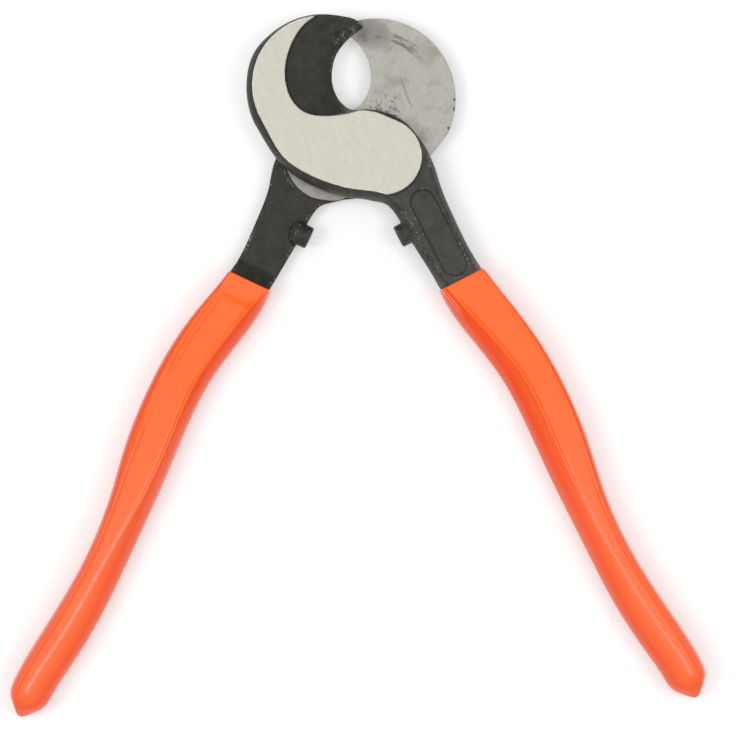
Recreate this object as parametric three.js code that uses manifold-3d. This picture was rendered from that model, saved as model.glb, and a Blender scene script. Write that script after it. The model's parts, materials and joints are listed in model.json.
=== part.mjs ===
// A 10 inch cable cutter: two drop-forged levers, each a hooked shear blade, hub, shank and tang in
// one piece, held blade to blade by one flush rivet, with a dipped vinyl grip on each tang.
//
// Millimetres. Origin on the pivot axis, at the back face that the tool lies on. +Z is the pivot axis
// and points to the front lever. +Y points from the pivot to the jaws, along the line that halves the
// tool. A lever is drawn closed, as the front one stands (blade to the left, handle to the right of
// +Y), with Z measured from the shear plane between the blades. It is then turned over for the rear,
// swung open to the rest pose, and lifted onto the back face.
import * as THREE from "three";
import { mergeVertices } from "three/addons/utils/BufferGeometryUtils.js";
import Module from "manifold-3d";

const wasm = await Module();
wasm.setup();
const { degToRad, lerp, smoothstep } = THREE.MathUtils;

// ---- driving dimensions -------------------------------------------------------------------------
const REST_SWING = degToRad(26.2); // each lever's swing from closed to the rest pose
const GAP = 0.15; // clearance round the rivet, inside the grips, and from each blade to the shear plane

const BLADE_THICK = 6.5;
const SHEAR_Z = GAP; // inner, ground side of a blade
const FACE_Z = SHEAR_Z + BLADE_THICK; // outer, ground side of a blade
const WALL_Z = 2.4; // height where the forged wall starts to lean in towards the ground face

const BEVEL_EDGE_Z = 0.4; // cutting bevel just off the edge
const BEVEL_RIM_Z = 5.6; // cutting bevel at its rim, a step below the ground face
const BEVEL_TIP_Z = 3.6; // the same at the tip of the hook

const SHANK_START = 5; // distances below the pivot, along the handle
const SHANK_IN_Z = 0.6; // inner side of the shank, just off the shear plane
const SHANK_OUT_Z = 5.5; // outer side of the shank, below the ground face
const SHANK_SIDE = 0.35; // share of the shank's side that stands upright
const SHANK_LEAN = [2.4, 1.8]; // how far its left and right sides then lean in
const SHANK_EDGE = 0.4; // chamfer along its inner side
const TANG_HALF = 4.0; // half the tang's thickness; the tang is centred on the shear plane
const IN_JOGGLE = [46.5, 54]; // where each side steps over to the tang
const OUT_JOGGLE = [58, 69];
const TANG_END = 197;

const MOUTH = 52.5; // where the grip starts
const MOUTH_WALL = [1.9, 0.9]; // vinyl over the tang's inner and outer side there
const GRIP_HALF = 6.5; // half the grip's thickness
const GRIP_RISE = [55.5, 60.5]; // where its inner side reaches that thickness
const TIP_START = 188; // where the grip starts to close in
const TIP_LENGTH = 7; // of the blunt point that it closes to
const TIP_ROUND = 0.8; // how blunt that point is
const TIP_POWER = 6; // how late the sides turn in to it
const GRIP_END = 206;

const PANEL = { x: 12.1, top: -25.6, foot: -47.5, radius: 3.9, depth: 0.7 }; // oval recess

const LUG = { face: 0.12, y: -31.7, radius: 3.6, rim: 0.4, end: 4.5, nose: 2.4 }; // lies along X

const PAD = { centre: [5.6, -5.2], radius: 13.9, thick: 2 }; // ground ring round the pivot

const RIVET_RADIUS = 5;
const RIVET_HEAD_RADIUS = 6.5; // 45 degree countersunk heads, ground flush
const RIVET_NECK_Z = FACE_Z - (RIVET_HEAD_RADIUS - RIVET_RADIUS);

const STEP = 1.6; // spacing of points along an outline
const ROUND = 48; // segments in a turned piece
const CORNER = 0.8; // power of the grip's rounded corners: 1 is an ellipse, less is squarer

const FORGED_STEEL = { color: 0x8f8d86, roughness: 0.5, metalness: 0.8 };
const RIVET_STEEL = { color: 0xb9b6ab, roughness: 0.35, metalness: 1.0 };
const VINYL = { color: 0xff5a1f, roughness: 0.3, metalness: 0.0 };

// The blade's back and the handle's shape differ a little between the two forgings.
const FRONT = {
  back: [-0.1, 21.0], radius: 24.1, swell: 0.7, drop: 0, reach: 0, splay: 0, slim: 0, mouth: 52.9,
};
const REAR = {
  back: [0.3, 17.7], radius: 25.6, swell: 0, drop: 2.4, reach: 0.022, splay: 0.3, slim: 0.8,
  mouth: 52.1,
};

// ---- outlines -----------------------------------------------------------------------------------
const vec = ([x, y]) => new THREE.Vector2(x, y);
const stepsFor = (length) => Math.max(2, Math.round(length / STEP));

// A smooth curve through the given points.
const curve = (...points) => new THREE.SplineCurve(points.map(vec));

// An arc about a centre from one angle to another, in degrees.
function arc([x, y], radius, from, to) {
  const [a, b] = [from, to].map(degToRad);
  return new THREE.EllipseCurve(x, y, radius, radius, a, b, b < a);
}

// Points along a line at the usual spacing.
const points = (line) => line.getSpacedPoints(stepsFor(line.getLength()));

// Curves end to end as one line.
function joined(...curves) {
  const path = new THREE.CurvePath();
  path.curves = curves;
  return path;
}

// A smooth function of the distance below the pivot, through [distance, value] pairs.
function along(...pairs) {
  const distances = pairs.map(([distance]) => distance);
  const values = pairs.map(([, value]) => value);
  const track = new THREE.CubicInterpolant(distances, values, 1);
  return (distance) => track.evaluate(distance)[0];
}

// ---- solids -------------------------------------------------------------------------------------
// A closed geometry as a manifold-3d solid.
function solid(geometry) {
  const bare = geometry.index ? geometry.toNonIndexed() : geometry.clone();
  bare.deleteAttribute("normal");
  bare.deleteAttribute("uv");
  const merged = mergeVertices(bare, 1e-4);
  const triVerts = new Uint32Array(merged.index.array);
  const vertProperties = merged.attributes.position.array;
  return new wasm.Manifold(new wasm.Mesh({ numProp: 3, vertProperties, triVerts }));
}

// A solid back as a three.js geometry.
function geometryOf(made) {
  const { vertProperties, triVerts, numProp, numVert } = made.getMesh();
  const position = new Float32Array(numVert * 3);
  for (let i = 0; i < numVert; i++)
    position.set(vertProperties.subarray(i * numProp, i * numProp + 3), i * 3);
  return new THREE.BufferGeometry()
    .setAttribute("position", new THREE.BufferAttribute(position, 3))
    .setIndex(new THREE.BufferAttribute(triVerts, 1));
}

// The triangles that fill a ring, once it is flattened, turning the same way as the ring does.
function fill(ring, flatten) {
  const flat = ring.map(flatten);
  const sense = Math.sign(THREE.ShapeUtils.area(flat));
  return THREE.ShapeUtils.triangulateShape(flat, []).map(([a, b, c]) => {
    const turn = THREE.ShapeUtils.area([flat[a], flat[b], flat[c]]);
    return turn * sense > 0 ? [a, b, c] : [a, c, b];
  });
}

// A skin over closed rings of equally many points, with both end rings filled in. The rings turn
// anticlockwise as seen from the last one.
function loft(rings, flatten) {
  const count = rings[0].length;
  const last = (rings.length - 1) * count;
  const index = [];
  for (let start = 0; start < last; start += count)
    for (let i = 0; i < count; i++) {
      const [a, b] = [start + i, start + ((i + 1) % count)];
      index.push(a, b, b + count, a, b + count, a + count);
    }
  for (const [a, b, c] of fill(rings[0], flatten)) index.push(a, c, b);
  for (const [a, b, c] of fill(rings.at(-1), flatten)) index.push(a + last, b + last, c + last);
  const geometry = new THREE.BufferGeometry().setFromPoints(rings.flat());
  return solid(geometry.setIndex(index));
}

const level = (points, z) => points.map((p) => new THREE.Vector3(p.x, p.y, z));
const fromAbove = (p) => new THREE.Vector2(p.x, p.y);
const fromEnd = (p) => new THREE.Vector2(p.x, p.z);

// A plate over an outline from one height to another.
function plate(outline, low, high) {
  const options = { depth: high - low, bevelEnabled: false };
  return solid(new THREE.ExtrudeGeometry(new THREE.Shape(outline), options).translate(0, 0, low));
}

// A profile of [radius, height] pairs turned about the axis, which it starts and ends on.
function turned(profile, segments = ROUND) {
  return new THREE.LatheGeometry(profile.map(vec), segments);
}

// ---- head of a lever ----------------------------------------------------------------------------
const THROAT = [6.2, 10.5];
const HOOK_TIP = [20.6, 33.1];
const HUB = [7.5, -7.0];
const HUB_RADIUS = 12;

// The cutting edge, from the tip of the hook to the throat.
const cuttingEdge = curve(
  HOOK_TIP, [13.5, 31.4], [8, 28.2], [4.1, 22.5], [3.15, 17], [4.3, 12.8], THROAT,
);

// The blade's round back at its foot: an arc that swells below its top and at its tip.
function bladeBack({ back, radius, swell }) {
  const bell = (angle, middle, width) => Math.exp(-(((angle - middle) / width) ** 2));
  const stations = distances(180, 36, -6).map((angle) => {
    const from = radius + swell * (bell(angle, 126, 18) + bell(angle, 38, 9));
    const turn = degToRad(angle);
    return [back[0] + from * Math.cos(turn), back[1] + from * Math.sin(turn)];
  });
  return curve(...stations);
}

// The ground face's outline and the foot of the forged wall round it, in stretches that match.
function headStretches(spec) {
  const { back, radius } = spec;
  const foot = bladeBack(spec);
  const face = arc([back[0] + 0.5, back[1] + 1.2], radius - 2.3, 183, 58);
  const start = (line) => line.getPoint(0).toArray();
  const end = (line) => line.getPoint(1).toArray();
  return [
    { // lobe, from the throat to the hub
      face: curve([6.3, 9.7], [8.8, 8.6], [11.8, 6.4], [14.8, 3], [17, 0.3]),
      foot: curve(THROAT, [9.1, 9.3], [12.2, 7.2], [15.3, 3.5], [17.7, 0.5]),
    },
    { // round end of the hub
      face: arc(HUB, HUB_RADIUS, 37.5, -112),
      foot: arc(HUB, HUB_RADIUS + 0.6, 36, -112),
    },
    { // under the hub and up the back of the blade
      face: curve([3.0, -18.13], [-0.2, -15.1], [-8, -9.5], [-15.8, -1.2], [-20.7, 8], start(face)),
      foot: curve([2.78, -18.68], [-3, -16.4], [-10, -11.9], [-18.6, -2.2], [-23, 8], start(foot)),
    },
    { // round back of the hook, out to its tip
      face: joined(face, curve(end(face), [16.6, 38.2], [19.7, 33.6])),
      foot: joined(foot, curve(end(foot), HOOK_TIP)),
    },
    { face: cuttingEdge, foot: cuttingEdge },
  ];
}

// Both outlines, anticlockwise and matched point for point.
function headOutlines(spec) {
  const stretches = headStretches(spec);
  const side = (name) =>
    stretches.flatMap((s) => s[name].getSpacedPoints(stepsFor(s.foot.getLength())).slice(1));
  return { face: side("face").reverse(), foot: side("foot").reverse() };
}

// The hooked blade and hub: upright at the shear plane, then leaning in to the ground face.
function head(spec) {
  const { face, foot } = headOutlines(spec);
  const between = (share) => foot.map((p, i) => p.clone().lerp(face[i], share));
  const rings = [
    level(foot, SHEAR_Z),
    level(foot, WALL_Z),
    level(between(0.35), lerp(WALL_Z, FACE_Z, 0.6)),
    level(between(0.8), lerp(WALL_Z, FACE_Z, 0.92)),
    level(face, FACE_Z),
  ];
  return loft(rings, fromAbove);
}

// What the cutting bevel takes away: a trough from its rim down to the edge, open at the tip.
function bevelCutter({ drop }) {
  const rim = curve(
    [6.8, 9.5], [4.2, 10], [1.1, 11], [-3.3, 12.9], [-7.2, 15.5], [-9.7, 19.2], [-10.3, 25],
    [-8, 31.7 - drop / 2], [-3.2, 37.5 - drop], [3, 41.5 - drop], [8.5, 42.6 - drop],
    [13.5, 43 - drop], [19.5, 40.5 - drop], [23.5, 34.5],
  );
  const edge = curve(
    [7.4, 11.5], [5.3, 13.6], [4.3, 17.1], [5.2, 22], [8.8, 27.2], [14, 30.2], [22, 32.2],
  );
  const steps = stepsFor(rim.getLength());
  const edgePoints = edge.getSpacedPoints(steps);
  const tipStart = 0.72;
  const stations = rim.getSpacedPoints(steps).map((r, i) => {
    const share = i / steps;
    const rimZ = lerp(BEVEL_RIM_Z, BEVEL_TIP_Z, smoothstep(share, tipStart, 1));
    const e = edgePoints[i];
    const top = FACE_Z + 2;
    return [
      new THREE.Vector3(r.x, r.y, rimZ),
      new THREE.Vector3(r.x, r.y, top),
      new THREE.Vector3(e.x, e.y, top),
      new THREE.Vector3(e.x, e.y, BEVEL_EDGE_Z),
    ];
  });
  return loft(stations, (p) => new THREE.Vector2(Math.hypot(p.x, p.y), p.z));
}

// ---- shank, tang and grip -----------------------------------------------------------------------
const barLeft = along(
  [5, -5], [12, -6], [15.5, -4], [18, -1.6], [20, 0.8], [22.5, 2.2], [26, 2.8], [36, 3.3],
  [46, 4.2], [52.5, 4.7], [62, 6.3], [72, 8.3], [87, 11], [97, 11.4], [118, 10.6], [145, 10.2],
  [170, 10.5], [185, 12.1], [197, 14],
);
const barRight = along(
  [5, 19.7], [8, 20.5], [12, 20.9], [16, 20.8], [21, 20], [27, 19.2], [35, 18.8], [42, 18.6],
  [48, 18.8], [52.5, 19.3], [62, 20.2], [75, 22.6], [92, 24], [100, 24], [116, 22.8], [132, 20.3],
  [145, 19.3], [160, 19.6], [178, 21.5], [190, 22.6], [197, 21.6],
);
const gripLeft = along(
  [52.5, 3.9], [60, 4.2], [72, 6.3], [87, 9], [97, 9.4], [118, 8.6], [145, 8.2], [170, 8.5],
  [185, 10.2], [194, 11.4], [207, 11.4],
);
const gripRight = along(
  [52.5, 19.9], [60, 21.4], [75, 24.4], [92, 26], [100, 26], [116, 24.8], [132, 22.3],
  [145, 21.2], [160, 21.5], [178, 23.4], [187, 24.5], [194, 25], [207, 25],
);

// Widths of the rounds beside the grip's flat panels: left and right of the one on its outer side,
// and of the one on its inner side.
const OUTER_ROUNDS = [
  along([52, 2.4], [60, 4.1], [70, 5], [92, 4.9], [116, 5.3], [146, 6], [162, 7.2], [178, 7.8]),
  along([52, 0.9], [70, 1.5], [92, 1.8], [116, 2.3], [146, 2.1], [178, 2.1], [207, 2.4]),
];
const INNER_ROUNDS = [
  along([52, 1.2], [60, 3.4], [70, 4], [88, 3.8], [104, 3.3], [130, 3.6], [146, 4.2], [178, 5.6]),
  along([52, 0.9], [64, 2.5], [72, 3], [92, 3.9], [116, 3.5], [130, 2.7], [146, 2.3], [178, 2.6]),
];

// Heights of the inner and outer side of the bar.
const barLow = (s) => lerp(SHANK_IN_Z, -TANG_HALF, smoothstep(s, ...IN_JOGGLE));
const barHigh = (s) => lerp(SHANK_OUT_Z, TANG_HALF, smoothstep(s, ...OUT_JOGGLE));

// The same for the grip, which widens out of a thin mouth.
const gripLow = (s) =>
  lerp(barLow(MOUTH) - MOUTH_WALL[0], -GRIP_HALF, smoothstep(s, ...GRIP_RISE));
const gripHigh = (s) =>
  lerp(SHANK_OUT_Z + MOUTH_WALL[1], GRIP_HALF, smoothstep(s, ...OUT_JOGGLE));

// Distances below the pivot from one to another, at about the given spacing.
function distances(from, to, spacing) {
  const steps = Math.ceil((to - from) / spacing);
  return Array.from({ length: steps + 1 }, (_, i) => lerp(from, to, i / steps));
}

// How much narrower the shank's outer side is on this lever.
const slimming = (s, spec) => spec.slim * smoothstep(s, 12, 25) * (1 - smoothstep(s, 48, 72));

// A ring of [x, z] pairs set at a distance below the pivot, on this lever's own handle.
function ringAt(s, pairs, { reach, splay }) {
  const past = Math.max(0, s - MOUTH);
  const shift = splay * smoothstep(s, MOUTH, MOUTH + 25);
  return pairs.map(([x, z]) => new THREE.Vector3(x + shift, -(s + past * reach), z));
}

// The tang's sides lean in half as far as the shank's.
const leanShare = (s) => 1 - 0.5 * smoothstep(s, ...OUT_JOGGLE);

// The bar's section: flat inside and out, with upright then leaning sides.
function barRing(s, spec, grow = 0) {
  const [left, right] = [barLeft(s) - grow, barRight(s) - slimming(s, spec) + grow];
  const [low, high] = [barLow(s) - grow, barHigh(s) + grow];
  const shoulder = lerp(low, high, SHANK_SIDE);
  const [leanLeft, leanRight] = SHANK_LEAN.map((lean) => lean * leanShare(s));
  const inner = low + SHANK_EDGE;
  const pairs = [
    [left + SHANK_EDGE, low], [right - SHANK_EDGE, low], [right, inner], [right, shoulder],
    [right - leanRight, high], [left + leanLeft, high], [left, shoulder], [left, inner],
  ];
  return ringAt(s, pairs, spec);
}

// The shank and tang.
function bar(spec) {
  const stations = [...distances(SHANK_START, 72, 2), ...distances(78, TANG_END, 7)];
  return loft(stations.map((s) => barRing(s, spec)), fromEnd);
}

// Share of the grip's full width and thickness that is left near its end, where straight sides
// close in on a blunt point.
function tipShare(s) {
  const left = GRIP_END - s;
  const width = Math.sqrt(left * left + TIP_ROUND * left);
  return width / (width ** TIP_POWER + TIP_LENGTH ** TIP_POWER) ** (1 / TIP_POWER);
}

// The grip's section: a flat panel on its outer and inner side, with a round to each side of it.
function gripRing(s, spec) {
  const share = s < TIP_START ? 1 : tipShare(s);
  const [left, right] = [gripLeft(s), gripRight(s) - slimming(s, spec)];
  const middle = (left + right) / 2;
  const [low, high] = [gripLow(s), gripHigh(s)];
  const centre = (low + high) / 2;
  const half = (share * (high - low)) / 2;
  const corner = (edge, width, up, turn) => {
    const angle = (turn * Math.PI) / 2;
    const inset = width * (1 - Math.cos(angle) ** CORNER);
    const x = edge === left ? edge + inset : edge - inset;
    return [lerp(middle, x, share), centre + up * half * Math.sin(angle) ** CORNER];
  };
  const turns = [0, 0.17, 0.36, 0.58, 0.8, 1];
  const round = (edge, width, up) => turns.map((turn) => corner(edge, width(s), up, turn));
  const pairs = [
    ...round(right, OUTER_ROUNDS[1], 1),
    ...round(left, OUTER_ROUNDS[0], 1).toReversed(),
    ...round(left, INNER_ROUNDS[0], -1).slice(1),
    ...round(right, INNER_ROUNDS[1], -1).slice(1).toReversed(),
  ];
  return ringAt(s, pairs, spec);
}

function grip(spec) {
  const ending = distances(0, 1, 0.11).map((t) => lerp(TIP_START, GRIP_END, Math.sin(t * 1.5)));
  const stations = [...distances(spec.mouth, 72, 2.2), ...distances(77, 183, 5.5), ...ending];
  const outer = loft(stations.map((s) => gripRing(s, spec)), fromEnd);
  const inside = [...distances(spec.mouth - 2, 72, 2), ...distances(78, TANG_END + 1, 7)];
  const cavity = loft(inside.map((s) => barRing(s, spec, GAP)), fromEnd);
  return outer.subtract(cavity);
}

// ---- details of a lever -------------------------------------------------------------------------
// The stop on the shank's inner side: a round stub across the shear plane, with a flat end that
// meets the other lever's stub when the tool is closed, and a rounded end in the shank.
function lug() {
  const { face, y, radius, rim, end, nose } = LUG;
  const profile = [[0, face], [radius - rim, face], [radius, face + rim]];
  for (const t of distances(0, 1, 0.2)) {
    const angle = (t * Math.PI) / 2;
    profile.push([radius * Math.cos(angle), end + nose * Math.sin(angle)]);
  }
  return solid(turned(profile, ROUND / 2).rotateZ(-Math.PI / 2).translate(0, y, 0));
}

// The oval recess in the shank's outer side.
function panel() {
  const { x, top, foot, radius, depth } = PANEL;
  const oval = new THREE.Shape().absarc(x, top, radius, 0, Math.PI);
  oval.absarc(x, foot, radius, Math.PI, 2 * Math.PI);
  return plate(oval.getPoints(10), SHANK_OUT_Z - depth, FACE_Z);
}

// The round pad that the other lever's hub slides on, proud of the shank's inner side.
function pad() {
  const outline = points(arc(PAD.centre, PAD.radius, 0, 360)).slice(1);
  return plate(outline, SHEAR_Z, SHEAR_Z + PAD.thick);
}

// A solid turned about the pivot axis, alike on both sides of the shear plane.
function pivotTurned(upper) {
  const lower = upper.toReversed().map(([radius, z]) => [radius, -z]);
  return solid(turned([...lower, ...upper]).rotateX(Math.PI / 2));
}

const rivet = () =>
  pivotTurned([[RIVET_RADIUS, RIVET_NECK_Z], [RIVET_HEAD_RADIUS, FACE_Z], [0, FACE_Z]]);

// The hole for it, carried on past the ground face.
function rivetHole() {
  const [shank, rim, end] = [RIVET_RADIUS + GAP, RIVET_HEAD_RADIUS + GAP, FACE_Z + 1];
  return pivotTurned([[shank, RIVET_NECK_Z], [rim, FACE_Z], [rim, end], [0, end]]);
}

function lever(spec) {
  return head(spec)
    .subtract(bevelCutter(spec))
    .add(bar(spec))
    .add(pad())
    .add(lug())
    .subtract(panel())
    .subtract(rivetHole());
}

// ---- assembly -----------------------------------------------------------------------------------
function piece(name, made, finish) {
  const mesh = new THREE.Mesh(geometryOf(made), new THREE.MeshStandardMaterial(finish));
  mesh.name = name;
  return mesh;
}

// A lever with its grip, swung open to the rest pose.
function handle(side, spec) {
  const group = new THREE.Group();
  group.add(
    piece(`${side}_lever`, lever(spec), FORGED_STEEL),
    piece(`${side}_grip`, grip(spec), VINYL),
  );
  group.rotation.z = REST_SWING;
  return group;
}

const front = handle("front", FRONT);
const rear = handle("rear", REAR);
rear.rotation.y = Math.PI; // turned over, blade to blade with the front one

const levers = new THREE.Group();
levers.add(front, rear, piece("pivot_rivet", rivet(), RIVET_STEEL));
levers.position.z = FACE_Z; // the shear plane, over the back face at z = 0

const cutter = new THREE.Group();
cutter.add(levers);
export default cutter;
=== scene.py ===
"""The looks of a hand cable cutter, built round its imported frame.

Each lever is one forging: a distance field gives the forged shape with its fillets, a surface is
drawn through it, and its bright faces are then ground flat by plane cuts. The grips are lofted
sleeves and the rivet is turned. Shapes are worked out in millimetres, in the frame of a closed front
lever: pivot at the origin, shear plane at z = 0, +Y towards the jaws, handle to the right. The rear
lever is nearly the same shape, turned over about Y.
"""

import json
import math
from functools import reduce

import bmesh
import bpy
import numpy as np
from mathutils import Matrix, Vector


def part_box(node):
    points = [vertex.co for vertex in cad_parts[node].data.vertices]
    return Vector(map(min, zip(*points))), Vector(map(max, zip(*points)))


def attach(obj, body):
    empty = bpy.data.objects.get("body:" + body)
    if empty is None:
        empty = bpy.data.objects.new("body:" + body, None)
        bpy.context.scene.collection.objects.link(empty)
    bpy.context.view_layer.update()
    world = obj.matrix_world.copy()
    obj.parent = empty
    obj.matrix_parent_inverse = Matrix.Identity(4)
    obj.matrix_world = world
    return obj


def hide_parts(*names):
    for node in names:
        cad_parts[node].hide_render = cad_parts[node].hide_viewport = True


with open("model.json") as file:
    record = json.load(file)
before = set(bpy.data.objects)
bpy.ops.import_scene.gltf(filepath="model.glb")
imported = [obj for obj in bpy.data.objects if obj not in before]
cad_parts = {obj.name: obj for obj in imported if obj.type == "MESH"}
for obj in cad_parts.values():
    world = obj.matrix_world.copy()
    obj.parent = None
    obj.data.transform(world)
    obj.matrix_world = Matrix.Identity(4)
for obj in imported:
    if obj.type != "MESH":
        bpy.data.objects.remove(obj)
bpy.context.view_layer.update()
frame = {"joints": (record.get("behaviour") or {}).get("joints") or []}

MM = 0.001
JOINT = frame["joints"][0]
SWING = math.radians(-JOINT["range_deg"][0] / 2)  # each lever's swing from closed to rest
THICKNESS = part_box("pivot_rivet")[1].z / MM  # of the two blades together
LIFT = THICKNESS / 2  # height of the shear plane over the back face

# ---- sizes of a lever, in millimetres ----
VOXEL = 0.34  # of the grid that a forging is drawn on
GAP = 0.15  # to the tang, and from each blade to the shear plane
SHEAR_Z = GAP
FACE_Z = LIFT
WALL_Z = 2.4  # the forged wall leans in above this
SPARE = 0.6  # forged past the ground faces, and ground away
FACE_RIM = 0.28  # chamfers left by the grinding
SHEAR_RIM = 0.12
BEVEL_EDGE_Z = 0.4  # height of the cutting bevel at its edge, at its rim and at the hook's tip
BEVEL_RIM_Z = 5.6
BEVEL_TIP_Z = 3.6
BEVEL_TIP_X = (9, 21)  # where the rim sinks towards the tip
BEVEL_TIP_Y = 20  # only above this
SHANK_START = 5  # distances below the pivot, along the handle
SHANK_IN_Z = 0.6
SHANK_OUT_Z = 5.5
SHANK_UPRIGHT = 0.35  # share of the shank's side that stands upright
SHANK_LEAN = (2.4, 1.8)  # how far its left and right sides then lean in
TANG_HALF = 4.0
IN_JOGGLE = (46.5, 54)  # where each side steps over to the tang
OUT_JOGGLE = (58, 69)
TANG_END = 197
MOUTH = 52.5
MOUTH_WALL = (1.9, 0.9)  # vinyl over the tang's inner and outer side there
MOUTH_LIP = 0.45  # radius of the mouth's rounded edge
SPLAY_RUN = 25
GRIP_HALF = 6.5
GRIP_RISE = (55.5, 60.5)
TIP_START = 188
TIP_LENGTH, TIP_ROUND, TIP_POWER = 7, 2.6, 6
GRIP_END = 206
LUG_Y, LUG_RADIUS, LUG_END, LUG_NOSE, LUG_FACE = -31.7, 3.6, 4.5, 2.4, 0.12
PAD_CENTRE, PAD_RADIUS, PAD_THICK = (5.6, -5.2), 13.9, 2
HUB_TOP = (4, 8)  # below this the inner side is ground on its pad only
PANEL_X, PANEL_TOP, PANEL_FOOT, PANEL_RADIUS, PANEL_DEPTH = 12.1, -25.6, -47.5, 3.9, 0.7
RIVET_RADIUS, RIVET_HEAD = 5.0, 6.5
RIVET_FIT = 0.012  # drawn round the rivet, so that its ring doesn't show
RIVET_POINTS = 128
SLIM_IN, SLIM_OUT = (12, 25), (48, 72)  # where a slimmer shank sets in and ends
PAD_STEP = 0.4  # width of the step round the pad
BEVEL_POWER = 0.8  # how soon the bevel's floor rises from its edge
BEVEL_FLARE, PANEL_FLARE = 0.3, 0.35  # how far their walls lean for each millimetre of height
SHANK_ROUND, SHANK_FACE_ROUND, CUT_ROUND = 1.0, 0.2, 0.3  # rounded edges
BEVEL_ROUND, PANEL_ROUND, LUG_ROUND = 0.6, 0.5, 0.7
PAD_FILLET, HEAD_FILLET, LUG_FILLET = 0.2, 1.2, 0.9  # where two shapes run together
FORGING_BOX = (-27, -203, -5.2), (27, 48, 8)  # corners of the space that a forging is drawn in
FACE_FOOT, SHEAR_FOOT = -25, -22  # how far down each side is ground

# What tells the two forgings apart: the centre and radius of the blade's round back, and how far it
# swells; how much lower the bevel's rim lies; how much longer, wider apart and slimmer the handle is;
# and where its grip starts.
FRONT = {
    "back": (-0.1, 21.0), "radius": 24.1, "swell": 0.7, "drop": 0, "reach": 0, "splay": 0, "slim": 0,
    "mouth": 52.9,
}  # fmt: skip
REAR = {
    "back": (0.3, 17.7), "radius": 25.6, "swell": 0, "drop": 2.4, "reach": 0.022, "splay": 0.3,
    "slim": 0.8, "mouth": 52.1,
}  # fmt: skip


# ---- curves ----
def curve(points, step=0.6):
    """A Catmull-Rom curve through the points, as an array of points about a step apart."""
    p = np.array(points, float)
    ends = np.vstack([p[0], p, p[-1]])
    runs = []
    for a, b, c, d in zip(ends, ends[1:], ends[2:], ends[3:]):
        count = max(2, int(np.linalg.norm(c - b) / step))
        t = np.linspace(0, 1, count, endpoint=False)[:, None]
        m, n = (c - a) / 2, (d - b) / 2
        cubic = (2 * b - 2 * c + m + n) * t**3 + (-3 * b + 3 * c - 2 * m - n) * t**2 + m * t + b
        runs.append(cubic)
    return np.vstack(runs + [p[-1:]])


def arc(centre, radius, start, stop, step=0.6):
    """An arc between two angles in degrees."""
    count = max(2, int(abs(math.radians(stop - start)) * radius / step))
    angle = np.radians(np.linspace(start, stop, count + 1))
    return np.column_stack([centre[0] + radius * np.cos(angle), centre[1] + radius * np.sin(angle)])


def along(*pairs):
    """A smooth function of the distance below the pivot, through (distance, value) pairs."""
    at, value = np.array(pairs, float).T
    n = len(at)
    gap = np.diff(at)
    slope = np.diff(value) / gap
    system = np.eye(n)
    right = np.zeros(n)
    for i in range(1, n - 1):
        system[i, i - 1 : i + 2] = gap[i - 1], 2 * (gap[i - 1] + gap[i]), gap[i]
        right[i] = 6 * (slope[i] - slope[i - 1])
    bend = np.linalg.solve(system, right)

    def evaluate(s):
        s = np.clip(s, at[0], at[-1])
        i = np.clip(np.searchsorted(at, s) - 1, 0, n - 2)
        a, b, h = at[i + 1] - s, s - at[i], gap[i]
        cubic = (bend[i] * a**3 + bend[i + 1] * b**3) / (6 * h)
        return cubic + (value[i] / h - bend[i] * h / 6) * a + (value[i + 1] / h - bend[i + 1] * h / 6) * b

    return evaluate


def smoothstep(x, low, high):
    t = np.clip((x - low) / (high - low), 0, 1)
    return t * t * (3 - 2 * t)


def mix(a, b, share):
    return a + (b - a) * share


# ---- lever outlines ----
THROAT = (6.2, 10.5)
HOOK_TIP = (20.6, 33.1)
HUB = (7.5, -7.0)
HUB_RADIUS = 12.0
CUTTING_EDGE = curve(
    [HOOK_TIP, (13.5, 31.4), (8, 28.2), (4.1, 22.5), (3.15, 17), (4.3, 12.8), THROAT]
)
SWELLS = ((126, 18), (38, 9))  # of the blade's back: the angle and width of each, in degrees


def bell(x, centre, width):
    """1 at the centre, falling away smoothly to either side."""
    return np.exp(-(((x - centre) / width) ** 2))


def blade_back(spec, start, stop):
    """The blade's round back between two angles: an arc that swells below its top and at its tip."""
    angle = np.linspace(start, stop, 100)
    swell = sum(bell(angle, *place) for place in SWELLS)
    radius = spec["radius"] + spec["swell"] * swell
    x, y = np.cos(np.radians(angle)), np.sin(np.radians(angle))
    return np.column_stack([spec["back"][0] + radius * x, spec["back"][1] + radius * y])


def head_outlines(spec):
    """The outline of the ground face, and that of the foot of the forged wall round it."""
    back, radius = spec["back"], spec["radius"]
    foot_back = blade_back(spec, 180, 36)
    face_back = arc((back[0] + 0.5, back[1] + 1.2), radius - 2.3, 183, 58)
    foot = [
        curve([THROAT, (9.1, 9.3), (12.2, 7.2), (15.3, 3.5), (17.7, 0.5)]),
        arc(HUB, HUB_RADIUS + 0.6, 36, -112),
        curve([(2.78, -18.68), (-3, -16.4), (-10, -11.9), (-18.6, -2.2), (-23, 8), foot_back[0]]),
        foot_back,
        CUTTING_EDGE,
    ]
    face = [
        curve([(6.3, 9.7), (8.8, 8.6), (11.8, 6.4), (14.8, 3), (17, 0.3)]),
        arc(HUB, HUB_RADIUS, 37.5, -112),
        curve([(3.0, -18.13), (-0.2, -15.1), (-8, -9.5), (-15.8, -1.2), (-20.7, 8), face_back[0]]),
        curve([*face_back[::6], (16.6, 38.2), (19.7, 33.6)]),
        CUTTING_EDGE,
    ]
    return np.vstack(face), np.vstack(foot)


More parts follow.
